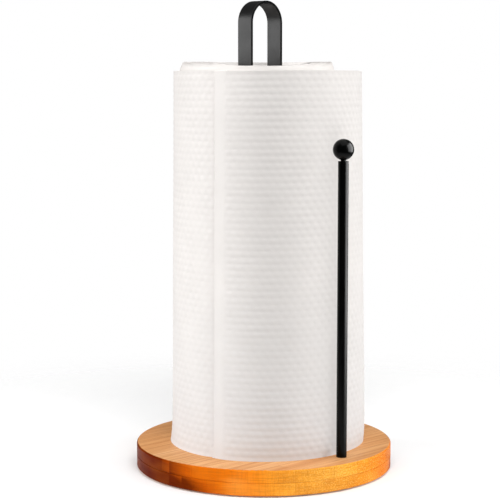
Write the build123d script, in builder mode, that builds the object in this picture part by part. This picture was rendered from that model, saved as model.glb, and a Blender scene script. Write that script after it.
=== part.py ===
"""Free-standing paper towel holder: bamboo base, steel loop, side rod with a ball, and a paper roll.

Millimetres. Z is up and the origin is the centre of the base, on the surface the rubber feet stand on.
X runs along the width of the loop and along the bamboo's grain, and the side rod stands towards -Y.
"""

import os
from math import cos, radians, sin

from build123d import *

# Base: two bamboo plies glued face to face, on four rubber feet
BASE_DIAMETER = 190.0
PLY_THICKNESS = 9.25
TOP_EDGE_RADIUS = 1.5
BOTTOM_EDGE_CHAMFER = 1.0
SEAM_CHAMFER = 0.3
FOOT_DIAMETER = 12.0
FOOT_HEIGHT = 2.0
FOOT_PROUD = 1.0
FOOT_CIRCLE_RADIUS = 74.0
FOOT_EDGE_RADIUS = 0.4

# Centre loop: one steel strip bent into a tall loop, its two feet turned in, a little off the centre
LOOP_X = -1.8
LOOP_Y = 2.2
LOOP_WIDTH = 32.0
LOOP_HEIGHT = 325.0
STRIP_WIDTH = 14.0
STRIP_THICKNESS = 1.8
STRIP_EDGE_RADIUS = 0.35
LOOP_FOOT_BEND_RADIUS = 3.0
LOOP_FOOT_GAP = 5.0
CLAMP_LENGTH = 26.0
CLAMP_WIDTH = 12.0
CLAMP_THICKNESS = 4.0
LOOP_SCREW_SPACING = 17.0

# Side rod and ball
ROD_DIAMETER = 7.5
ROD_OFFSET = 78.4
ROD_HEIGHT = 211.3
ROD_SOCKET_DEPTH = 3.0
ROD_EDGE_RADIUS = 0.5
BALL_DIAMETER = 15.0
BALL_GAP = 0.5
BALL_FLAT = 0.25
BALL_HOLE_DEPTH = 8.0
STUD_IN_ROD = 8.0
ROD_TAPPING_DEPTH = 14.0

# M4 screws, their washers and the holes for them
THREAD_DIAMETER = 4.0
TAPPED_DIAMETER = 4.1
CLEARANCE_DIAMETER = 4.6
HEAD_DIAMETER = 7.6
HEAD_HEIGHT = 2.6
HEX_ACROSS_FLATS = 2.5
HEX_DEPTH = 1.6
WASHER_DIAMETER = 9.0
WASHER_THICKNESS = 0.8
COUNTERBORE_DIAMETER = 10.0
COUNTERBORE_DEPTH = 5.0

# Paper roll: cardboard core, inner windings pushed up a little, looser outer windings, last sheet
CORE_BORE = 47.0
CORE_WALL = 1.0
CORE_X = 3.6
CORE_Y = 0.4
SPIN_GAP = 0.3
PAPER_WIDTH = 274.4
INNER_RISE = 6.7
CORE_RISE = 3.0
INNER_DIAMETER = 113.0
INNER_SHOULDER = 3.0
INNER_SHIFT_X = -5.4
INNER_SHIFT_Y = 5.3
OUTER_TOP_DIAMETER = 139.2
OUTER_BOTTOM_DIAMETER = 143.2
SHEET_THICKNESS = 0.8
SHEET_TAIL_ANGLE = 188.0
SHEET_TAIL_GAP = 2.0

# Levels above the surface the feet stand on
base_bottom = FOOT_PROUD
seam = base_bottom + PLY_THICKNESS
base_top = seam + PLY_THICKNESS
loop_top = base_top + LOOP_HEIGHT
rod_bottom = base_top - ROD_SOCKET_DEPTH
rod_top = base_top + ROD_HEIGHT
ball_centre = rod_top + BALL_GAP + BALL_DIAMETER / 2
washer_seat = base_bottom + COUNTERBORE_DEPTH
head_seat = washer_seat - WASHER_THICKNESS
clamp_bottom = base_top + STRIP_THICKNESS
clamp_top = clamp_bottom + CLAMP_THICKNESS

# Where the screws and feet go, seen from above
loop_screw_places = [
    (LOOP_X - LOOP_SCREW_SPACING / 2, LOOP_Y),
    (LOOP_X + LOOP_SCREW_SPACING / 2, LOOP_Y),
]
rod_place = (0, -ROD_OFFSET)
screw_places = loop_screw_places + [rod_place]
foot_angles = [45, 135, 225, 315]
foot_places = [
    (FOOT_CIRCLE_RADIUS * cos(radians(angle)), FOOT_CIRCLE_RADIUS * sin(radians(angle)))
    for angle in foot_angles
]
core_place = (CORE_X, CORE_Y)
inner_place = (CORE_X + INNER_SHIFT_X, CORE_Y + INNER_SHIFT_Y)
core_outer_radius = CORE_BORE / 2 + CORE_WALL


def finish(part, name):
    """Label a finished sub-part and write it to its own STEP file."""
    part.label = name
    export_step(part, f"parts/{name}.step")


def socket_screw(place, thread_length):
    """A button-head socket screw whose head bears up against its washer."""
    with BuildPart() as screw:
        with BuildSketch(Plane.XY.offset(head_seat - HEAD_HEIGHT)):
            with Locations(place):
                Circle(HEAD_DIAMETER / 2)
        extrude(amount=HEAD_HEIGHT)
        fillet(screw.edges().sort_by(Axis.Z)[0], radius=HEAD_HEIGHT / 2)
        with BuildSketch(Plane.XY.offset(head_seat)):
            with Locations(place):
                Circle(THREAD_DIAMETER / 2)
        extrude(amount=thread_length)
        chamfer(screw.edges().sort_by(Axis.Z)[-1], length=THREAD_DIAMETER / 8)
        with BuildSketch(Plane.XY.offset(head_seat - HEAD_HEIGHT)):
            with Locations(place):
                RegularPolygon(HEX_ACROSS_FLATS / 2, 6, major_radius=False)
        extrude(amount=HEX_DEPTH, mode=Mode.SUBTRACT)
    return screw.part


def plain_washer(place):
    """A flat washer seated at the bottom of its counterbore."""
    with BuildPart() as washer:
        with BuildSketch(Plane.XY.offset(head_seat)):
            with Locations(place):
                Circle(WASHER_DIAMETER / 2)
                Circle(CLEARANCE_DIAMETER / 2, mode=Mode.SUBTRACT)
        extrude(amount=WASHER_THICKNESS)
    return washer.part


def rubber_foot(place):
    """A rubber disc, half sunk in the underside of the base."""
    with BuildPart() as foot:
        with BuildSketch(Plane.XY):
            with Locations(place):
                Circle(FOOT_DIAMETER / 2)
        extrude(amount=FOOT_HEIGHT)
        fillet(foot.edges().sort_by(Axis.Z)[0], radius=FOOT_EDGE_RADIUS)
    return foot.part


os.makedirs("parts", exist_ok=True)

# Lower bamboo ply: screw clearance with counterbores, and pockets for the feet
with BuildPart() as lower_ply:
    with BuildSketch(Plane.XY.offset(base_bottom)):
        Circle(BASE_DIAMETER / 2)
    extrude(amount=PLY_THICKNESS)
    chamfer(lower_ply.edges().sort_by(Axis.Z)[0], length=BOTTOM_EDGE_CHAMFER)
    chamfer(lower_ply.edges().sort_by(Axis.Z)[-1], length=SEAM_CHAMFER)
    with BuildSketch(Plane.XY.offset(base_bottom)):
        with Locations(*screw_places):
            Circle(CLEARANCE_DIAMETER / 2)
    extrude(amount=PLY_THICKNESS, mode=Mode.SUBTRACT)
    with BuildSketch(Plane.XY.offset(base_bottom)):
        with Locations(*screw_places):
            Circle(COUNTERBORE_DIAMETER / 2)
    extrude(amount=COUNTERBORE_DEPTH, mode=Mode.SUBTRACT)
    with BuildSketch(Plane.XY.offset(base_bottom)):
        with Locations(*foot_places):
            Circle(FOOT_DIAMETER / 2)
    extrude(amount=FOOT_HEIGHT - FOOT_PROUD, mode=Mode.SUBTRACT)
finish(lower_ply.part, "base_lower_ply")

# Upper bamboo ply: eased top edge, screw clearance, and a shallow socket for the side rod
with BuildPart() as upper_ply:
    with BuildSketch(Plane.XY.offset(seam)):
        Circle(BASE_DIAMETER / 2)
    extrude(amount=PLY_THICKNESS)
    fillet(upper_ply.edges().sort_by(Axis.Z)[-1], radius=TOP_EDGE_RADIUS)
    chamfer(upper_ply.edges().sort_by(Axis.Z)[0], length=SEAM_CHAMFER)
    with BuildSketch(Plane.XY.offset(seam)):
        with Locations(*screw_places):
            Circle(CLEARANCE_DIAMETER / 2)
    extrude(amount=PLY_THICKNESS, mode=Mode.SUBTRACT)
    with BuildSketch(Plane.XY.offset(rod_bottom)):
        with Locations(rod_place):
            Circle(ROD_DIAMETER / 2)
    extrude(amount=ROD_SOCKET_DEPTH, mode=Mode.SUBTRACT)
finish(upper_ply.part, "base_upper_ply")

# Four rubber feet
for index, place in enumerate(foot_places, start=1):
    finish(rubber_foot(place), f"rubber_foot_{index}")

# Centre loop: straight legs under a half-round top, the ends turned in under the clamp plate
half_width = LOOP_WIDTH / 2
spring_level = loop_top - half_width
loop_plane = Plane(origin=(LOOP_X, LOOP_Y, 0), x_dir=(1, 0, 0), z_dir=(0, -1, 0))
with BuildPart() as loop:
    with BuildSketch(loop_plane) as loop_profile:
        with BuildLine():
            Line((half_width, spring_level), (half_width, base_top))
            Line((half_width, base_top), (-half_width, base_top))
            Line((-half_width, base_top), (-half_width, spring_level))
            ThreePointArc((-half_width, spring_level), (0, loop_top), (half_width, spring_level))
        make_face()
        fillet(loop_profile.vertices().group_by(Axis.Y)[0], radius=LOOP_FOOT_BEND_RADIUS)
        offset(amount=-STRIP_THICKNESS, mode=Mode.SUBTRACT)
        with Locations((0, base_top)):
            Rectangle(LOOP_FOOT_GAP, 2 * STRIP_THICKNESS + LOOP_FOOT_GAP, mode=Mode.SUBTRACT)
    extrude(amount=STRIP_WIDTH / 2, both=True)
    strip_sides = loop.faces().filter_by(Axis.Y)
    fillet(strip_sides.edges(), radius=STRIP_EDGE_RADIUS)
    with BuildSketch(Plane.XY.offset(base_top)):
        with Locations(*loop_screw_places):
            Circle(CLEARANCE_DIAMETER / 2)
    extrude(amount=STRIP_THICKNESS, mode=Mode.SUBTRACT)
finish(loop.part, "centre_loop")

# Clamp plate: a short bar on top of the loop's feet, tapped for the two screws from below
with BuildPart() as clamp_plate:
    with BuildSketch(Plane.XY.offset(clamp_bottom)):
        with Locations((LOOP_X, LOOP_Y)):
            Rectangle(CLAMP_LENGTH, CLAMP_WIDTH)
    extrude(amount=CLAMP_THICKNESS)
    fillet(clamp_plate.edges().filter_by(Axis.Z), radius=STRIP_THICKNESS)
    with BuildSketch(Plane.XY.offset(clamp_bottom)):
        with Locations(*loop_screw_places):
            Circle(TAPPED_DIAMETER / 2)
    extrude(amount=CLAMP_THICKNESS, mode=Mode.SUBTRACT)
finish(clamp_plate.part, "loop_clamp_plate")

# Two screws and washers that pull the clamp plate down onto the loop's feet
loop_thread_length = clamp_top - head_seat
for side, place in zip(["left", "right"], loop_screw_places):
    finish(plain_washer(place), f"loop_washer_{side}")
    finish(socket_screw(place, loop_thread_length), f"loop_screw_{side}")

# Side rod: round bar, tapped at both ends
with BuildPart() as rod:
    with BuildSketch(Plane.XY.offset(rod_bottom)):
        with Locations(rod_place):
            Circle(ROD_DIAMETER / 2)
    extrude(amount=rod_top - rod_bottom)
    fillet(rod.edges().sort_by(Axis.Z)[-1], radius=ROD_EDGE_RADIUS)
    with BuildSketch(Plane.XY.offset(rod_bottom)):
        with Locations(rod_place):
            Circle(TAPPED_DIAMETER / 2)
    extrude(amount=ROD_TAPPING_DEPTH, mode=Mode.SUBTRACT)
    with BuildSketch(Plane.XY.offset(rod_top - STUD_IN_ROD)):
        with Locations(rod_place):
            Circle(TAPPED_DIAMETER / 2)
    extrude(amount=STUD_IN_ROD, mode=Mode.SUBTRACT)
finish(rod.part, "side_rod")

# Screw and washer that hold the rod down
rod_thread_length = rod_bottom + ROD_TAPPING_DEPTH - THREAD_DIAMETER / 2 - head_seat
finish(plain_washer(rod_place), "rod_washer")
finish(socket_screw(rod_place, rod_thread_length), "rod_screw")

# Ball knob, with a small flat underneath where its tapped hole opens
ball_bottom = ball_centre - BALL_DIAMETER / 2 + BALL_FLAT
with BuildPart() as ball:
    with Locations((*rod_place, ball_centre)):
        Sphere(BALL_DIAMETER / 2)
    split(bisect_by=Plane.XY.offset(ball_bottom), keep=Keep.TOP)
    with BuildSketch(Plane.XY.offset(ball_bottom)):
        with Locations(rod_place):
            Circle(TAPPED_DIAMETER / 2)
    extrude(amount=BALL_HOLE_DEPTH, mode=Mode.SUBTRACT)
finish(ball.part, "ball_knob")

# Threaded stud between the rod and the ball
stud_bottom = rod_top - STUD_IN_ROD
stud_top = ball_bottom + BALL_HOLE_DEPTH
with BuildPart() as stud:
    with BuildSketch(Plane.XY.offset(stud_bottom)):
        with Locations(rod_place):
            Circle(THREAD_DIAMETER / 2)
    extrude(amount=stud_top - stud_bottom)
    chamfer(stud.edges().filter_by(GeomType.CIRCLE), length=THREAD_DIAMETER / 8)
finish(stud.part, "ball_stud")

# Cardboard core, around the loop and raised less than the inner windings
with BuildPart() as core:
    with BuildSketch(Plane.XY.offset(base_top + CORE_RISE)):
        with Locations(core_place):
            Circle(core_outer_radius)
            Circle(CORE_BORE / 2, mode=Mode.SUBTRACT)
    extrude(amount=PAPER_WIDTH)
finish(core.part, "cardboard_core")

# Inner windings: tightly wound, pushed up past the outer ones, and off centre in them
inner_bottom = base_top + INNER_RISE
with BuildPart() as inner_windings:
    with BuildSketch(Plane.XY.offset(inner_bottom)):
        with Locations(inner_place):
            Circle(INNER_DIAMETER / 2)
    extrude(amount=PAPER_WIDTH)
    top_edge = inner_windings.edges().sort_by(Axis.Z)[-1]
    chamfer(top_edge, length=INNER_SHOULDER)
    with BuildSketch(Plane.XY.offset(inner_bottom)):
        with Locations(core_place):
            Circle(core_outer_radius + SPIN_GAP)
    extrude(amount=PAPER_WIDTH, mode=Mode.SUBTRACT)
finish(inner_windings.part, "inner_windings")


def roll_radius(height):
    """Radius of the roll's outside at a height above the base: slightly wider at the foot."""
    widening = (OUTER_BOTTOM_DIAMETER - OUTER_TOP_DIAMETER) / 2
    return OUTER_BOTTOM_DIAMETER / 2 - widening * height / PAPER_WIDTH


# Outer windings: a tapered ring around the inner ones
windings_bottom_radius = roll_radius(0) - SHEET_THICKNESS
windings_top_radius = roll_radius(PAPER_WIDTH) - SHEET_THICKNESS
outer_top = base_top + PAPER_WIDTH
with BuildPart() as outer_windings:
    with BuildSketch(Plane.XY.offset(base_top)):
        with Locations(core_place):
            Circle(windings_bottom_radius)
    with BuildSketch(Plane.XY.offset(outer_top)):
        with Locations(core_place):
            Circle(windings_top_radius)
    loft()
    with BuildSketch(Plane.XY.offset(base_top)):
        with Locations(inner_place):
            Circle(INNER_DIAMETER / 2)
    extrude(amount=PAPER_WIDTH, mode=Mode.SUBTRACT)
finish(outer_windings.part, "outer_windings")

# Outermost sheet: one turn of paper, with a narrow gap where its torn tail lies on the roll
tail_plane = Plane(origin=(CORE_X, CORE_Y, 0), x_dir=(1, 0, 0), z_dir=(0, 0, 1)).rotated(
    (0, 0, SHEET_TAIL_ANGLE)
)
sheet_plane = Plane(origin=tail_plane.origin, x_dir=tail_plane.x_dir, z_dir=-tail_plane.y_dir)
with BuildPart() as outer_sheet:
    with BuildSketch(sheet_plane):
        with BuildLine():
            Polyline(
                (windings_bottom_radius, base_top),
                (roll_radius(0), base_top),
                (roll_radius(PAPER_WIDTH), outer_top),
                (windings_top_radius, outer_top),
                close=True,
            )
        make_face()
    roll_axis = Axis((CORE_X, CORE_Y, 0), (0, 0, 1))
    revolve(axis=roll_axis, revolution_arc=360 - SHEET_TAIL_GAP)
finish(outer_sheet.part, "outer_sheet")
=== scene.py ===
"""Looks of a bamboo and black steel paper towel holder with an embossed paper roll.

Metres, in the CAD frame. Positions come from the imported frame's boxes.
"""
from math import cos, pi, radians, sin

import bmesh
import bpy
import numpy as np
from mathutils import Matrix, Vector


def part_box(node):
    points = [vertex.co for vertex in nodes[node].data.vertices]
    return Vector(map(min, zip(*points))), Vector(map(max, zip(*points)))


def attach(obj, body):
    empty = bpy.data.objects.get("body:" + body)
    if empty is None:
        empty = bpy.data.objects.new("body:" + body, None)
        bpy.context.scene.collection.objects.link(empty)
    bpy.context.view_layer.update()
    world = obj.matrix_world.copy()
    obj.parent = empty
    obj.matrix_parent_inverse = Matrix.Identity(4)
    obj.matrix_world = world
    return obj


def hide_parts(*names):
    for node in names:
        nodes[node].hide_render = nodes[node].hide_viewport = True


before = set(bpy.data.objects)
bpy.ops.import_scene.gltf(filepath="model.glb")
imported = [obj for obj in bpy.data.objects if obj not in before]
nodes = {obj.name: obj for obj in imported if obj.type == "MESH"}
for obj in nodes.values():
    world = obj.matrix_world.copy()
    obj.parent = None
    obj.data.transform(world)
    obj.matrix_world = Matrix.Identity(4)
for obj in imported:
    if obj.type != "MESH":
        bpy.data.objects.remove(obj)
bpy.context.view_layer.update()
scene = bpy.context.scene

MM = 0.001
SHARP_ANGLE = radians(50)

# Camera, at the photograph's angle
VIEW_AZIMUTH = radians(-44.6)
VIEW_ELEVATION = radians(6.3)
VIEW_DISTANCE = 1.124
VIEW_LENS = 109.2
AIM_RIGHT = -0.0103
AIM_HEIGHT = 0.162

# Studio
ROD_AND_BALL = ("side_rod", "ball_knob", "ball_stud")
LIGHT_AIM = Vector((0, 0, 0.17))
AMBIENT = 0.05
ROOM = 0.1
FLOOR_RADIUS = 2.5
FLOOR_SIDES = 96
FLOOR_ROUGHNESS = 0.7
FLOOR_GLOW = 0.1

# The roll's wound layers
LAYER_PITCH = 0.9 * MM
SAMPLES_PER_LAYER = 5
INNER_COLUMNS = 220
OUTER_COLUMNS = 260
OUTER_LAYERS = 15
CORE_GAP = 0.3 * MM
BORDER_GAP = 0.1 * MM
SKIN_GAP = 1.6 * MM
MERGE_DISTANCE = 0.02 * MM
SLIVER = 0.01 * MM
SHOULDER_SHARE = 0.06
SHOULDER_STEPS = 4
SHOULDER_DROP = 5.2 * MM
DROOP_SHARE = 0.2
DROOP = 0.6 * MM
SLUMP = 4 * MM
SLUMP_SIDE = radians(225)
SLUMP_START = 8 * MM
SLUMP_RUN = 45 * MM
DISH = 3.3 * MM
DISH_RADIUS = 41 * MM
DISH_RUN = 15 * MM

# The roll's outer sheet
FLARE = 2.0 * MM
SHEET_THICKNESS = 0.7 * MM
SHEET_INSET = 0.3 * MM
SHEET_BACK = 1.95 * MM
EDGE_FADE = 2.5 * MM
EMBOSS_DEPTH = 0.33 * MM
EMBOSS_ROW = 4.7 * MM
EMBOSS_STEP = 6.4 * MM
DOT_LENGTH = 1.35 * MM
DOT_HEIGHT = 1.15 * MM
GROOVE_HEIGHT = 0.95 * MM
RIB_BANDS = 4
RIB_TURN = radians(32.2)
ROW_SAMPLES = (-0.5, -0.2, 0.0, 0.2)
SAMPLES_PER_STEP = 6
TAIL_ANGLE = radians(192.8)
TAIL_OVERLAP = 9 * MM
TAIL_MARGIN = 8 * MM
TAIL_LIFT = 1.2 * MM
TAIL_LIP = 11 * MM
TAIL_SETTLE = 45 * MM
TAIL_HOLLOW = 1.1 * MM
TAIL_HOLLOW_START = 10 * MM
TAIL_RAG = 0.25 * MM
FOOT_SPREAD = 2.0 * MM
FOOT_HEIGHT = 9 * MM
FOOT_SIDE = radians(185)
FOOT_PINCH = -0.6
BULGE = 2.4 * MM
BULGE_SIDE = radians(-44.6)
BULGE_FOCUS = 6

# Bamboo
BASE_RADIUS = 95 * MM
PLY_THICKNESS = 9.25 * MM
STRIP_LENGTH = 135 * MM
STRIP_WIDTH = 9.2 * MM
BLOCK_LENGTH = 21 * MM
GLUE_LINE = 0.18 * MM
RIM_GLUE_LINE = 0.16 * MM
# the two sides of the rim's painted shade: it darkens towards them and is palest between them
PAINTED_SHADE_NEAR = radians(152)
PAINTED_SHADE_FAR = radians(352)
SPECKLE_SIDE = radians(285)

BLACK = (0.0, 0.0, 0.0, 1)
MID_GREY = (0.5, 0.5, 0.5, 1)
WHITE = (1.0, 1.0, 1.0, 1)

view_right = Vector((cos(VIEW_AZIMUTH), sin(VIEW_AZIMUTH), 0))
view_forward = Vector((
    -sin(VIEW_AZIMUTH) * cos(VIEW_ELEVATION),
    cos(VIEW_AZIMUTH) * cos(VIEW_ELEVATION),
    -sin(VIEW_ELEVATION),
))


def make_camera():
    data = bpy.data.cameras.new("camera")
    data.sensor_width = 36
    data.lens = VIEW_LENS
    data.clip_end = 50
    camera = bpy.data.objects.new("camera", data)
    aim = view_right * AIM_RIGHT + Vector((0, 0, AIM_HEIGHT))
    camera.location = aim - view_forward * VIEW_DISTANCE
    camera.rotation_euler = view_forward.to_track_quat("-Z", "Y").to_euler()
    scene.collection.objects.link(camera)
    scene.camera = camera


make_camera()


# ---------------------------------------------------------------- materials

class Nodes:
    """Short names for building a node tree."""

    def __init__(self, name):
        self.material = bpy.data.materials.new(name)
        self.material.use_nodes = True
        self.tree = self.material.node_tree
        self.shader = self.tree.nodes["Principled BSDF"]

    def add(self, kind, **settings):
        node = self.tree.nodes.new(kind)
        for key, value in settings.items():
            setattr(node, key, value)
        return node

    def link(self, source, target):
        self.tree.links.new(source, target)
        return target.node

    def put(self, node, values):
        """Sets or links a node's inputs by name or number."""
        for key, value in values.items():
            socket = node.inputs[key]
            if isinstance(value, bpy.types.NodeSocket):
                self.link(value, socket)
            else:
                socket.default_value = value
        return node

    def maths(self, operation, a, b=0.0, c=0.0, clamp=False):
        node = self.add("ShaderNodeMath", operation=operation, use_clamp=clamp)
        self.put(node, {0: a, 1: b, 2: c})
        return node.outputs[0]

    def ramp(self, factor, stops, kind="LINEAR"):
        """A colour ramp. stops are (position, grey or colour)."""
        node = self.add("ShaderNodeValToRGB")
        node.color_ramp.interpolation = kind
        while len(node.color_ramp.elements) < len(stops):
            node.color_ramp.elements.new(0.5)
        for element, (position, tint) in zip(node.color_ramp.elements, stops):
            element.position = position
            grey = not hasattr(tint, "__len__")
            element.color = (tint, tint, tint, 1) if grey else (*tint, 1)
        self.link(factor, node.inputs[0])
        return node.outputs[0]

    def mix(self, factor, a, b, blend="MIX"):
        node = self.add("ShaderNodeMix", data_type="RGBA", blend_type=blend)
        self.put(node, {0: factor, 6: a, 7: b})
        return node.outputs[2]

    def place(self):
        return self.add("ShaderNodeTexCoord").outputs["Object"]

    def separate(self, vector):
        """The three outputs of a vector."""
        node = self.add("ShaderNodeSeparateXYZ")
        self.link(vector, node.inputs[0])
        return node.outputs

    def towards(self, place, angle):
        """From -1 at the far side of the base's rim to 1 at the side that faces an angle."""
        node = self.add("ShaderNodeVectorMath", operation="DOT_PRODUCT")
        side = (cos(angle) / BASE_RADIUS, sin(angle) / BASE_RADIUS, 0)
        self.put(node, {0: place, 1: side})
        return node.outputs["Value"]

    def bricks(self, vector, offset, length, height, mortar, mortar_smooth):
        """Courses of bricks: the Color output is each brick's own grey, and Fac is the joints."""
        node = self.add("ShaderNodeTexBrick", offset=offset, offset_frequency=2)
        self.put(node, {
            "Vector": vector, "Color1": BLACK, "Color2": WHITE, "Mortar": MID_GREY,
            "Scale": 1.0, "Mortar Size": mortar, "Mortar Smooth": mortar_smooth, "Bias": 0.0,
            "Brick Width": length, "Row Height": height,
        })
        return node

    def stretched(self, vector, scale, location=(0, 0, 0)):
        node = self.add("ShaderNodeMapping")
        self.put(node, {"Vector": vector, "Scale": scale, "Location": location})
        return node.outputs[0]

    def noise(self, vector, scale, detail=3.0, roughness=0.5, distortion=0.0):
        node = self.add("ShaderNodeTexNoise")
        self.put(node, {
            "Vector": vector, "Scale": scale, "Detail": detail,
            "Roughness": roughness, "Distortion": distortion,
        })
        return node.outputs["Fac"]

    def bump(self, height, strength, distance):
        node = self.add("ShaderNodeBump")
        self.put(node, {"Height": height, "Strength": strength, "Distance": distance})
        self.link(node.outputs[0], self.shader.inputs["Normal"])

    def finish(self, tint, roughness, **others):
        """Sets the shader's colour, roughness and other named inputs, and returns the material."""
        self.put(self.shader, {"Base Color": tint, "Roughness": roughness})
        self.put(self.shader, {key.replace("_", " "): value for key, value in others.items()})
        return self.material


def colour(red, green, blue):
    """A colour from 8-bit sRGB values, as the linear values that a shader takes."""
    return tuple(
        v / 255 / 12.92 if v <= 10 else ((v / 255 + 0.055) / 1.055) ** 2.4
        for v in (red, green, blue)
    )


def rgba(red, green, blue):
    return (*colour(red, green, blue), 1)


def bamboo():
    """Lacquered bamboo: strips along X on the flat faces, and the plies' blocks round the rim."""
    n = Nodes("bamboo")
    place = n.place()
    x, y, z = n.separate(place)
    normal = n.separate(n.add("ShaderNodeNewGeometry").outputs["Normal"])
    flat = n.ramp(n.maths("ABSOLUTE", normal[2]), [(0.75, 0.0), (0.93, 1.0)])

    # the rim's place: the arc length round it, then the height
    arc = n.maths("MULTIPLY", n.maths("ARCTAN2", y, x), BASE_RADIUS)
    combine = n.add("ShaderNodeCombineXYZ")
    n.put(combine, {0: arc, 1: z, 2: 0.0})
    rim_place = combine.outputs[0]

    fibre = n.noise(n.stretched(place, (14, 520, 520)), 1.0, 4.0, 0.6, 0.3)
    upright = n.noise(n.stretched(rim_place, (820, 90, 1), (5, 0, 3)), 1.0, 3.0, 0.6, 0.1)
    top = bamboo_top(n, place, fibre)
    rim = bamboo_rim(n, place, z, rim_place, upright)

    height = n.maths("ADD", n.maths("MULTIPLY", fibre, 0.6), n.maths("MULTIPLY", upright, 0.4))
    n.bump(height, 0.25, 0.12 * MM)
    return n.finish(n.mix(flat, rim, top), n.ramp(fibre, [(0.3, 0.46), (0.7, 0.34)]),
                    Specular_IOR_Level=0.02)


def bamboo_top(n, place, fibre):
    """The flat faces: strips about 9 mm wide, each with its own tone, and long fibres."""
    strips = n.bricks(place, 0.37, STRIP_LENGTH, STRIP_WIDTH, GLUE_LINE, 0.3)
    broad = n.noise(n.stretched(place, (7, 120, 120), (3, 1, 7)), 1.0, 2.0, 0.5, 0.2)
    dashes = n.noise(n.stretched(place, (55, 1500, 1500), (9, 4, 2)), 1.0, 2.0, 0.5)
    tone = n.ramp(broad, [
        (0.3, colour(207, 153, 101)), (0.52, colour(220, 171, 120)), (0.72, colour(231, 187, 141)),
    ])
    strip_tone = n.ramp(strips.outputs["Color"], [
        (0.0, colour(238, 226, 214)), (1.0, colour(255, 252, 250)),
    ])
    top = n.mix(1.0, tone, strip_tone, "MULTIPLY")
    top = n.mix(n.ramp(fibre, [(0.42, 0.42), (0.6, 0.0)]), top, rgba(182, 116, 70))
    top = n.mix(n.ramp(dashes, [(0.63, 0.0), (0.72, 0.55)]), top, rgba(142, 84, 40))
    return n.mix(n.maths("MULTIPLY", strips.outputs["Fac"], 0.55), top, rgba(138, 80, 36))


def bamboo_rim(n, place, z, rim_place, upright):
    """The rim: blocks in two courses, speckled end grain, and painted shade towards two sides."""
    blocks = n.bricks(n.stretched(rim_place, (1, 1, 1), (0.004, -0.001, 0)), 0.43,
                      BLOCK_LENGTH, PLY_THICKNESS, RIM_GLUE_LINE, 0.4)
    streak = n.noise(n.stretched(rim_place, (60, 900, 1)), 1.0, 3.0, 0.55, 0.2)
    patch = n.noise(n.stretched(rim_place, (26, 60, 1), (2, 8, 0)), 1.0, 2.0, 0.5, 0.0)
    bundles = n.noise(n.stretched(rim_place, (950, 950, 1), (1, 4, 6)), 1.0, 1.0, 0.4)

    # painted light and shade: the rim's tone is paler between the two sides and deeper towards
    # them
    painted_shade_sides = n.maths("MAXIMUM", n.towards(place, PAINTED_SHADE_NEAR), n.towards(place, PAINTED_SHADE_FAR))
    painted_shade_sides = n.maths("ADD", n.maths("MULTIPLY", painted_shade_sides, 0.5), 0.5)
    rim = n.ramp(painted_shade_sides, [
        (0.30, colour(255, 190, 84)), (0.50, colour(255, 181, 66)), (0.61, colour(255, 167, 50)),
        (0.71, colour(255, 142, 26)), (0.81, colour(232, 121, 14)), (0.87, colour(238, 128, 16)),
    ])
    block_tone = n.ramp(blocks.outputs["Color"], [
        (0.0, colour(232, 218, 200)), (1.0, (1.0, 1.0, 1.0)),
    ])
    rim = n.mix(1.0, rim, block_tone, "MULTIPLY")
    rim = n.mix(n.ramp(upright, [(0.42, 0.22), (0.56, 0.0)]), rim, rgba(196, 104, 26))
    rim = n.mix(n.ramp(streak, [(0.4, 0.28), (0.56, 0.0)]), rim, rgba(170, 84, 18))

    # end grain shows where the strips are cut across
    across = n.maths("ABSOLUTE", n.towards(place, SPECKLE_SIDE))
    speckled = n.ramp(across, [(0.45, 0.0), (0.9, 1.0)])
    light_spots = n.maths("MULTIPLY", n.ramp(bundles, [(0.52, 0.0), (0.62, 0.32)]), speckled)
    dark_spots = n.maths("MULTIPLY", n.ramp(bundles, [(0.36, 0.3), (0.46, 0.0)]), speckled)
    rim = n.mix(light_spots, rim, rgba(255, 214, 120))
    rim = n.mix(dark_spots, rim, rgba(206, 112, 28))
    rim = n.mix(n.ramp(patch, [(0.5, 0.0), (0.75, 0.25)]), rim, rgba(255, 190, 90))
    rim = n.mix(n.maths("MULTIPLY", blocks.outputs["Fac"], 0.2), rim, rgba(120, 58, 12))

    # painted shade, darker towards the two sides, block by block and more of it in the lower
    # course
    own_tone = n.ramp(blocks.outputs["Color"], [(0.0, 0.0), (1.0, 1.0)])
    uneven = n.maths("MULTIPLY", own_tone, 0.05)
    upper_course = n.ramp(z, [(0.0075, 0.0), (0.0085, 0.055)])
    painted_shade_level = n.maths("SUBTRACT", n.maths("ADD", painted_shade_sides, uneven), upper_course)
    painted_shade_tone = n.ramp(painted_shade_level, [
        (0.79, (1.0, 1.0, 1.0)), (0.865, colour(214, 186, 150)),
        (0.915, colour(122, 92, 56)), (0.97, colour(104, 62, 32)),
    ])
    rim = n.mix(1.0, rim, painted_shade_tone, "MULTIPLY")
    # paler patches inside the painted shade
    paler_in_painted_shade = n.maths("MULTIPLY", n.ramp(patch, [(0.42, 0.0), (0.68, 0.4)]),
                    n.ramp(painted_shade_level, [(0.86, 0.0), (0.94, 1.0)]))
    return n.mix(paler_in_painted_shade, rim, rgba(146, 72, 22))


def powder_coat():
    """Satin black powder coat: a fine grain, and slightly uneven in tone and gloss."""
    n = Nodes("black_powder_coat")
    place = n.place()
    grain = n.noise(place, 1400.0, 3.0, 0.6)
    wear = n.noise(place, 60.0, 2.0, 0.5)
    n.bump(grain, 0.35, 0.06 * MM)
    return n.finish(n.ramp(wear, [(0.3, colour(5, 5, 5)), (0.7, colour(9, 9, 9))]),
                    n.ramp(wear, [(0.3, 0.36), (0.7, 0.44)]))


def gloss_black():
    """Gloss black, with faint smears."""
    n = Nodes("black_gloss")
    place = n.place()
    smear = n.noise(place, 90.0, 3.0, 0.5)
    n.bump(n.noise(place, 700.0, 2.0, 0.5), 0.12, 0.04 * MM)
    return n.finish(n.ramp(smear, [(0.3, colour(2, 2, 2)), (0.7, colour(4, 4, 4))]),
                    n.ramp(smear, [(0.3, 0.2), (0.7, 0.27)]), Specular_IOR_Level=0.1)


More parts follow.
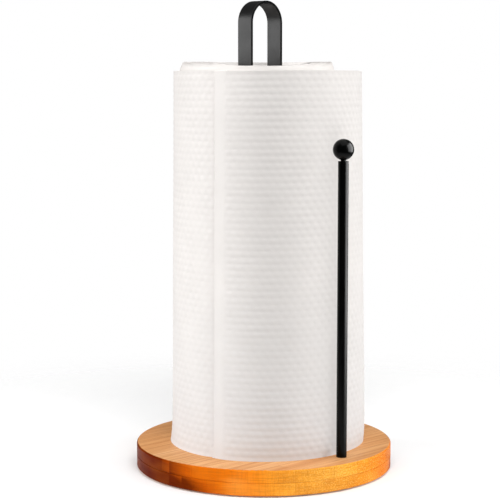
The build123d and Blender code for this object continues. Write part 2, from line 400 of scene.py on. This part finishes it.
def zinc():
    """Zinc plate with fine spangles."""
    n = Nodes("zinc_plate")
    place = n.place()
    spots = n.noise(place, 900.0, 3.0, 0.6)
    n.bump(spots, 0.2, 0.05 * MM)
    return n.finish(n.ramp(spots, [(0.3, colour(168, 170, 174)), (0.7, colour(196, 197, 200))]),
                    n.ramp(spots, [(0.3, 0.3), (0.7, 0.42)]), Metallic=1.0)


def rubber():
    """Black rubber with a little dust."""
    n = Nodes("black_rubber")
    place = n.place()
    dust = n.noise(place, 500.0, 4.0, 0.6)
    n.bump(dust, 0.3, 0.1 * MM)
    return n.finish(n.ramp(dust, [(0.35, colour(28, 28, 28)), (0.75, colour(44, 43, 42))]),
                    n.ramp(dust, [(0.3, 0.8), (0.7, 0.92)]))


def cardboard():
    """Spiral-wound grey-brown board, with the seam of the winding and its fibres."""
    n = Nodes("core_board")
    place = n.place()
    x, y, z = n.separate(place)
    turn = n.maths("DIVIDE", n.maths("ARCTAN2", y, x), 2 * pi)
    phase = n.maths("FRACT", n.maths("ADD", n.maths("MULTIPLY", z, 12.0), turn))
    seam = n.ramp(phase, [(0.0, 1.0), (0.02, 0.0), (0.98, 0.0), (1.0, 1.0)])
    fibres = n.noise(place, 420.0, 5.0, 0.7)
    base = n.ramp(fibres, [(0.3, colour(150, 122, 92)), (0.7, colour(188, 160, 126))])
    n.bump(fibres, 0.35, 0.2 * MM)
    return n.finish(n.mix(n.maths("MULTIPLY", seam, 0.6), base, rgba(96, 74, 52)), 0.9)


def tissue(name, soft=0.0, painted_shade_factor=1.0, painted_foot_shade=False):
    """White tissue: fibres, a faint cloudy tone, and no gloss.

    soft is the sheen's weight; the other two options paint shade: darker overall, or greyer
    towards the base.
    """
    n = Nodes(name)
    place = n.place()
    fibres = n.noise(place, 1100.0, 5.0, 0.75)
    clouds = n.noise(place, 45.0, 3.0, 0.5)
    tone = n.ramp(clouds, [(0.3, [painted_shade_factor * v for v in colour(227, 223, 220)]),
                           (0.7, [painted_shade_factor * v for v in colour(231, 227, 224)])])
    n.bump(fibres, 0.4, 0.12 * MM)
    tone = n.mix(n.ramp(fibres, [(0.3, 0.12), (0.6, 0.0)]), tone, rgba(214, 211, 206))
    if painted_foot_shade:
        # painted shade: the tone greys towards the foot of the roll
        foot = n.ramp(n.separate(place)[2], [
            (0.02, (0.9, 0.94, 0.985)), (0.05, (0.89, 0.9, 0.915)),
            (0.085, (0.92, 0.925, 0.93)), (0.15, (1.0, 1.0, 1.0)),
        ])
        tone = n.mix(1.0, tone, foot, "MULTIPLY")
    return n.finish(tone, 0.92, Sheen_Weight=soft, Sheen_Roughness=0.5)


def dress(name, material):
    """Gives a CAD node its material."""
    slots = nodes[name].data.materials
    slots.clear()
    slots.append(material)


bamboo_material = bamboo()
coat_material = powder_coat()
gloss_material = gloss_black()
zinc_material = zinc()
rubber_material = rubber()
board_material = cardboard()
# the outer sheet, with painted shade at its foot
sheet_material = tissue("tissue_sheet", 0.1, painted_foot_shade=True)
# the wound layers: the same tissue, darkened to 0.87 as painted shade
painted_shade_layer_material = tissue("tissue_layers", painted_shade_factor=0.87)

for node in ("base_lower_ply", "base_upper_ply"):
    dress(node, bamboo_material)
dress("centre_loop", coat_material)
for node in ROD_AND_BALL:
    dress(node, gloss_material)
for node in ("loop_clamp_plate", "loop_screw_left", "loop_screw_right", "loop_washer_left",
             "loop_washer_right", "rod_screw", "rod_washer"):
    dress(node, zinc_material)
for number in range(1, 5):
    dress(f"rubber_foot_{number}", rubber_material)
dress("cardboard_core", board_material)


# ---------------------------------------------------------------- paper roll

def piece_from(name, vertices, faces, material, body):
    """A mesh piece that rides on a body, from arrays of vertices and faces."""
    mesh = bpy.data.meshes.new(name)
    mesh.from_pydata([tuple(v) for v in vertices], [], faces)
    mesh.validate()
    mesh.materials.append(material)
    mesh.polygons.foreach_set("use_smooth", [True] * len(mesh.polygons))
    mesh.set_sharp_from_angle(angle=SHARP_ANGLE)
    piece = bpy.data.objects.new(name, mesh)
    scene.collection.objects.link(piece)
    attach(piece, body)
    return piece


def middle(node):
    """The middle of a CAD node's box."""
    low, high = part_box(node)
    return (low + high) / 2


def wobble(t, seed):
    """A smooth, repeatable noise from -1 to 1 along a line."""
    t = np.asarray(t, float)
    cell = np.floor(t)
    blend = t - cell
    blend = blend * blend * (3 - 2 * blend)

    def value(n):
        raw = np.sin(n * 127.1 + seed * 311.7) * 43758.5453
        return 2 * (raw - np.floor(raw)) - 1

    return value(cell) * (1 - blend) + value(cell + 1) * blend


core_low, core_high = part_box("cardboard_core")
core_middle = middle("cardboard_core")
inner_low, inner_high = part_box("inner_windings")
inner_middle = middle("inner_windings")
outer_low, outer_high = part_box("outer_windings")
sheet_low, sheet_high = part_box("outer_sheet")
core_radius = (core_high.x - core_low.x) / 2
inner_radius = (inner_high.x - inner_low.x) / 2
foot_radius = (sheet_high.x - sheet_low.x) / 2
paper_width = sheet_high.z - sheet_low.z
table = sheet_low.z


def roll_radius(z):
    """The roll's outside radius at a height: it is a little wider at the foot."""
    return foot_radius - FLARE * (z - table) / paper_width


def wound(name, inside, outside, height, layers, columns, body):
    """A closed ring of spiral-wound paper.

    inside and outside are (centre, radius). height(w, turn, angle) gives the levels of the ring's
    top and bottom, where w goes from 0 at the inside to 1 at the outside, and turn counts layers.
    """
    steps = layers * SAMPLES_PER_LAYER
    i = np.arange(steps + 1)[:, None]
    j = np.arange(columns)[None, :]
    angle = 2 * pi * j / columns
    turn = i / SAMPLES_PER_LAYER + j / columns - 1
    turn = np.clip(turn, 0, layers - 1)
    w = turn / (layers - 1)
    centre_x = inside[0].x + (outside[0].x - inside[0].x) * w
    centre_y = inside[0].y + (outside[0].y - inside[0].y) * w
    radius = inside[1] + (outside[1] - inside[1]) * w
    x = centre_x + radius * np.cos(angle)
    y = centre_y + radius * np.sin(angle)
    top, bottom = height(w, turn, angle)
    count = (steps + 1) * columns
    upper = np.stack([x, y, top + 0 * x], -1).reshape(-1, 3)
    lower = np.stack([x, y, bottom + 0 * x], -1).reshape(-1, 3)
    vertices = np.concatenate([upper, lower])

    def at(row, column, side):
        if column == columns:
            row, column = min(row + SAMPLES_PER_LAYER, steps), 0
        return row * columns + column + side * count

    faces = []
    for row in range(steps):
        for column in range(columns):
            ring = [(row, column), (row + 1, column), (row + 1, column + 1), (row, column + 1)]
            for side in (0, 1):
                face = [at(r, c, side) for r, c in ring]
                faces.append(face if side == 0 else face[::-1])
    for column in range(columns):
        for row, turned in ((0, False), (steps, True)):
            face = [at(row, column, 0), at(row, column + 1, 0),
                    at(row, column + 1, 1), at(row, column, 1)]
            faces.append(face[::-1] if turned else face)
    piece = piece_from(name, vertices, faces, painted_shade_layer_material, body)
    work = bmesh.new()
    work.from_mesh(piece.data)
    bmesh.ops.remove_doubles(work, verts=work.verts, dist=MERGE_DISTANCE)
    bmesh.ops.dissolve_degenerate(work, edges=work.edges, dist=SLIVER)
    bmesh.ops.holes_fill(work, edges=[e for e in work.edges if e.is_boundary], sides=0)
    bmesh.ops.recalc_face_normals(work, faces=work.faces)
    work.to_mesh(piece.data)
    work.free()
    return piece


def layer_profile(turn):
    """From 0 in the gap between two layers to 1 on a layer's edge."""
    part = turn - np.floor(turn)
    return np.clip(np.sin(pi * part), 0, 1) ** 0.5


def smooth(t):
    """An eased step from 0 to 1."""
    t = np.clip(t, 0, 1)
    return t * t * (3 - 2 * t)


def inner_height(w, turn, angle):
    """The raised middle of the roll: slumped on one side, dished round the core, and stepped."""
    shoulder = np.clip((w - 1 + SHOULDER_SHARE) / SHOULDER_SHARE, 0, 1)
    steps = np.floor(shoulder * SHOULDER_STEPS) / SHOULDER_STEPS * 0.6 + shoulder * 0.4
    uneven = 0.3 * MM * wobble(turn * 1.0, 3) + 0.2 * MM * wobble(turn * 6.1, 5)
    groove = (1 - layer_profile(turn)) * 0.9 * MM
    radius = core_radius + (inner_radius - core_radius) * w
    towards = radius * np.cos(angle - SLUMP_SIDE)
    slumped = SLUMP * smooth((towards + SLUMP_START) / SLUMP_RUN)
    slumped = np.maximum(slumped, DISH * smooth((DISH_RADIUS - radius) / DISH_RUN))
    top = (inner_high.z - 0.1 * MM - steps * SHOULDER_DROP + uneven - groove
           - slumped * (1 - shoulder * 0.6))
    bottom = inner_low.z + 0.6 * MM + uneven * 0.6 + groove
    return np.minimum(top, inner_high.z), np.maximum(bottom, inner_low.z)


def outer_height(w, turn, angle):
    """The outer windings, which droop a little towards the sheet."""
    uneven = 0.5 * MM * wobble(turn * 1.0, 11) + 0.3 * MM * wobble(turn * 5.3, 13)
    groove = (1 - layer_profile(turn)) * 1.0 * MM
    droop = np.clip((w - 1 + DROOP_SHARE) / DROOP_SHARE, 0, 1) * DROOP
    top = outer_high.z - 0.2 * MM + uneven - groove - droop
    bottom = outer_low.z + 0.1 * MM + groove
    return np.minimum(top, outer_high.z), np.maximum(bottom, outer_low.z)


def make_windings():
    """The paper under the outer sheet: the raised middle, and the ring round it."""
    bore = (core_middle, core_radius + CORE_GAP)
    border = (inner_middle, inner_radius - BORDER_GAP)
    border_outside = (inner_middle, inner_radius + BORDER_GAP)
    skin = (core_middle, roll_radius(table + paper_width) - SHEET_THICKNESS - SKIN_GAP)
    inner_layers = int((inner_radius - core_radius) / LAYER_PITCH)
    inner = wound("wound_paper_inner", bore, border, inner_height,
                  inner_layers, INNER_COLUMNS, "paper")
    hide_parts("inner_windings")
    outer = wound("wound_paper_outer", border_outside, skin, outer_height,
                  OUTER_LAYERS, OUTER_COLUMNS, "paper")
    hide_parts("outer_windings")


def emboss(u, v):
    """How deep the sheet is pressed in, from 0 to 1, at u round it and v up it.

    Each row is a groove with dots in it, half a step out of line with the next row's. Round the
    roll, dots take turns with bands where the grooves are deeper and read as ribs.
    """
    row = v / EMBOSS_ROW
    number = np.floor(row)
    across = u / EMBOSS_STEP + 0.5 * np.mod(number, 2)
    du = (across - np.floor(across) - 0.5) * EMBOSS_STEP
    dv = (row - number - 0.5) * EMBOSS_ROW
    dot = np.exp(-((du / DOT_LENGTH) ** 2 + (dv / DOT_HEIGHT) ** 2))
    groove = np.exp(-((dv / GROOVE_HEIGHT) ** 2))
    ribbed = 0.5 + 0.5 * np.cos(RIB_BANDS * (u / foot_radius - RIB_TURN))
    return (1.0 - 0.5 * ribbed) * dot + (0.14 + 0.26 * ribbed) * groove


def make_outer_sheet():
    """The outermost sheet: one turn from its torn tail, and a little more that dives under it.

    u runs round the sheet from the tail and v up it, in metres; share and level run from 0 to 1.
    """
    mean_radius = foot_radius - FLARE / 2
    turn = 2 * pi * mean_radius
    around = turn + TAIL_OVERLAP
    columns = int(around / EMBOSS_STEP) * SAMPLES_PER_STEP
    row_count = int(paper_width / EMBOSS_ROW)
    levels = [(n + 0.5 + part) / row_count for n in range(row_count) for part in ROW_SAMPLES]
    levels.append(1.0)
    share = np.arange(columns + 1)[:, None] / columns
    level = np.array(levels)[None, :]
    rows = len(levels) - 1
    u = share * around
    v = level * paper_width

    # the embossing, which stops short of the sheet's edges and of the tail
    edge = smooth(np.minimum(v, paper_width - v) / EDGE_FADE)
    margin = smooth((u - TAIL_MARGIN) / (3 * MM))
    depth = EMBOSS_DEPTH * (1 + 0.2 * wobble(u / 0.022 + v / 0.06, 41))
    pressed = emboss(u, v * row_count * EMBOSS_ROW / paper_width) * edge * margin * depth

    # the shape of the roll: the tail's lip, slack in the sheet, the bulge and the foot
    lift = TAIL_LIFT * smooth(u / TAIL_LIP) * np.exp(-(u / TAIL_SETTLE) ** 2)
    waves = (0.12 * MM * wobble(u / 0.031 + v / 0.11, 21)
             + 0.1 * MM * wobble(v / 0.043 - u / 0.09, 23))
    fade = np.clip(np.minimum(u, around - u) / 0.03, 0, 1)
    hollow = TAIL_HOLLOW * smooth((u - turn + TAIL_HOLLOW_START) / TAIL_LIP)
    skin = foot_radius - FLARE * level - SHEET_INSET - SHEET_THICKNESS * share - hollow
    ragged = TAIL_RAG * wobble(v / (1.1 * MM), 31) * (share == 0)
    angle = TAIL_ANGLE + (u + ragged) / mean_radius
    bulge = BULGE * (1.1 - level) * np.clip(np.cos(angle - BULGE_SIDE), 0, 1) ** BULGE_FOCUS
    spread = np.clip(np.cos(angle - FOOT_SIDE), FOOT_PINCH, 1)
    foot = FOOT_SPREAD * np.exp(-v / FOOT_HEIGHT) * spread
    radius = skin + lift - pressed + waves * fade + bulge + foot
    back = skin - SHEET_BACK + bulge
    height = table + v - 0.5 * MM * (wobble(u / 0.06, 37) + 1) * level ** 8
    outside = ring_points(radius, angle, height)
    inside = ring_points(back, angle, height)[:, [0, -1]]
    count = (columns + 1) * (rows + 1)
    vertices = np.concatenate([outside.reshape(-1, 3), inside.reshape(-1, 3)])

    def out(c, r):
        return c * (rows + 1) + r

    def inn(c, end):
        return count + c * 2 + end

    faces = []
    for c in range(columns):
        for r in range(rows):
            faces.append((out(c, r), out(c + 1, r), out(c + 1, r + 1), out(c, r + 1)))
        faces.append((inn(c, 0), inn(c, 1), inn(c + 1, 1), inn(c + 1, 0)))
        faces.append((out(c, 0), inn(c, 0), inn(c + 1, 0), out(c + 1, 0)))
        faces.append((out(c, rows), out(c + 1, rows), inn(c + 1, 1), inn(c, 1)))
    for c, turned in ((0, False), (columns, True)):
        ring = [out(c, r) for r in range(rows + 1)] + [inn(c, 1), inn(c, 0)]
        faces.append(ring[::-1] if turned else ring)
    sheet = piece_from("paper_sheet_outer", vertices, faces, sheet_material, "paper")
    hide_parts("outer_sheet")


def ring_points(radius, angle, height):
    """Points round the core's axis, from arrays of radius, angle and height."""
    x = core_middle.x + radius * np.cos(angle)
    y = core_middle.y + radius * np.sin(angle)
    return np.stack([x, y, height + 0 * x], -1)


make_windings()
make_outer_sheet()


# ---------------------------------------------------------------- studio

def make_floor():
    """A white disc that fades out into the white behind it."""
    work = bmesh.new()
    bmesh.ops.create_circle(work, cap_ends=True, radius=FLOOR_RADIUS, segments=FLOOR_SIDES)
    mesh = bpy.data.meshes.new("floor")
    work.to_mesh(mesh)
    work.free()
    n = Nodes("floor")
    place = n.place()
    reach = n.add("ShaderNodeVectorMath", operation="LENGTH")
    n.link(place, reach.inputs[0])
    n.finish(n.ramp(n.noise(place, 3.0, 2.0), [(0.3, 0.87), (0.7, 0.89)]), FLOOR_ROUGHNESS,
             Emission_Color=WHITE, Emission_Strength=FLOOR_GLOW)
    clear = n.add("ShaderNodeBsdfTransparent")
    faded = n.ramp(n.maths("MULTIPLY", reach.outputs["Value"], 0.5),
                   [(0.11, 0.0), (0.25, 1.0)], "EASE")
    mix = n.add("ShaderNodeMixShader")
    n.put(mix, {0: faded, 1: n.shader.outputs[0], 2: clear.outputs[0]})
    n.link(mix.outputs[0], n.tree.nodes["Material Output"].inputs[0])
    mesh.materials.append(n.material)
    floor_piece = bpy.data.objects.new("floor", mesh)
    scene.collection.objects.link(floor_piece)


def gathered(name, objects):
    """A collection of objects, for light linking."""
    collection = bpy.data.collections.new(name)
    for item in objects:
        collection.objects.link(item)
    return collection


def softbox(name, from_view, elevation, distance, width, height, power, kind="both", only=()):
    """An area light aimed at the middle of the holder.

    from_view is its bearing from the camera's, in degrees to the right, and elevation is in
    degrees too. kind says what it adds: diffuse light, glossy reflections or both. only names the
    nodes it falls on; without it, the rod and the ball cast no shadow in a diffuse light.
    """
    bearing = VIEW_AZIMUTH - pi / 2 + radians(from_view)
    lift = radians(elevation)
    direction = Vector((cos(bearing) * cos(lift), sin(bearing) * cos(lift), sin(lift)))
    data = bpy.data.lights.new(name, "AREA")
    data.shape = "RECTANGLE"
    data.size = width
    data.size_y = height
    data.energy = power
    light = bpy.data.objects.new(name, data)
    light.location = LIGHT_AIM + direction * distance
    light.rotation_euler = (-direction).to_track_quat("-Z", "Y").to_euler()
    light.visible_glossy = kind != "diffuse"
    light.visible_diffuse = kind != "glossy"
    if only:
        lit = gathered(f"{name}_falls_on", [nodes[node] for node in only])
        light.light_linking.receiver_collection = lit
    elif kind == "diffuse":
        light.light_linking.blocker_collection = shadow_casters
    scene.collection.objects.link(light)


def make_world():
    """White behind the object, even light round it, and a darker room in its reflections."""
    world = bpy.data.worlds.new("studio")
    scene.world = world
    world.use_nodes = True
    tree = world.node_tree
    tree.nodes.clear()
    rays = tree.nodes.new("ShaderNodeLightPath")

    def background(tint, strength):
        node = tree.nodes.new("ShaderNodeBackground")
        node.inputs["Color"].default_value = tint
        node.inputs["Strength"].default_value = strength
        return node.outputs[0]

    def choose(ray, otherwise, then):
        node = tree.nodes.new("ShaderNodeMixShader")
        tree.links.new(rays.outputs[ray], node.inputs[0])
        tree.links.new(otherwise, node.inputs[1])
        tree.links.new(then, node.inputs[2])
        return node.outputs[0]

    even = background((1, 0.99, 0.98, 1), AMBIENT)
    room = background(WHITE, ROOM)
    white = background(WHITE, 1.0)
    light = choose("Is Camera Ray", choose("Is Glossy Ray", even, room), white)
    out = tree.nodes.new("ShaderNodeOutputWorld")
    tree.links.new(light, out.inputs[0])


make_floor()
make_world()
shadowless = [nodes[node] for node in ROD_AND_BALL]
shadow_casters = gathered("shadow_casters", [
    item for item in scene.objects if item.type == "MESH" and item not in shadowless
])

# name, bearing, elevation, distance, width, height and power
softbox("left_softbox", -84, 18, 1.3, 0.45, 0.9, 15.0, "diffuse")
softbox("front_softbox", 8, 45, 0.95, 0.5, 0.5, 5.9, "diffuse")
softbox("right_softbox", 90, 18, 1.3, 0.6, 0.8, 10.6, "diffuse")
softbox("rear_softbox", 122, 16, 1.3, 0.7, 0.9, 3.2, "diffuse")
softbox("top_softbox", 20, 78, 1.5, 1.6, 1.6, 11)
softbox("left_reflection", -92, 10, 1.3, 0.45, 0.9, 6.0, "glossy", ("centre_loop",))
softbox("right_reflection", 84, 16, 1.3, 1.6, 1.5, 110, "glossy", ROD_AND_BALL)
scene.view_settings.view_transform = "Standard"
scene.view_settings.look = "None"
scene.view_settings.exposure = 0
scene.view_settings.gamma = 1
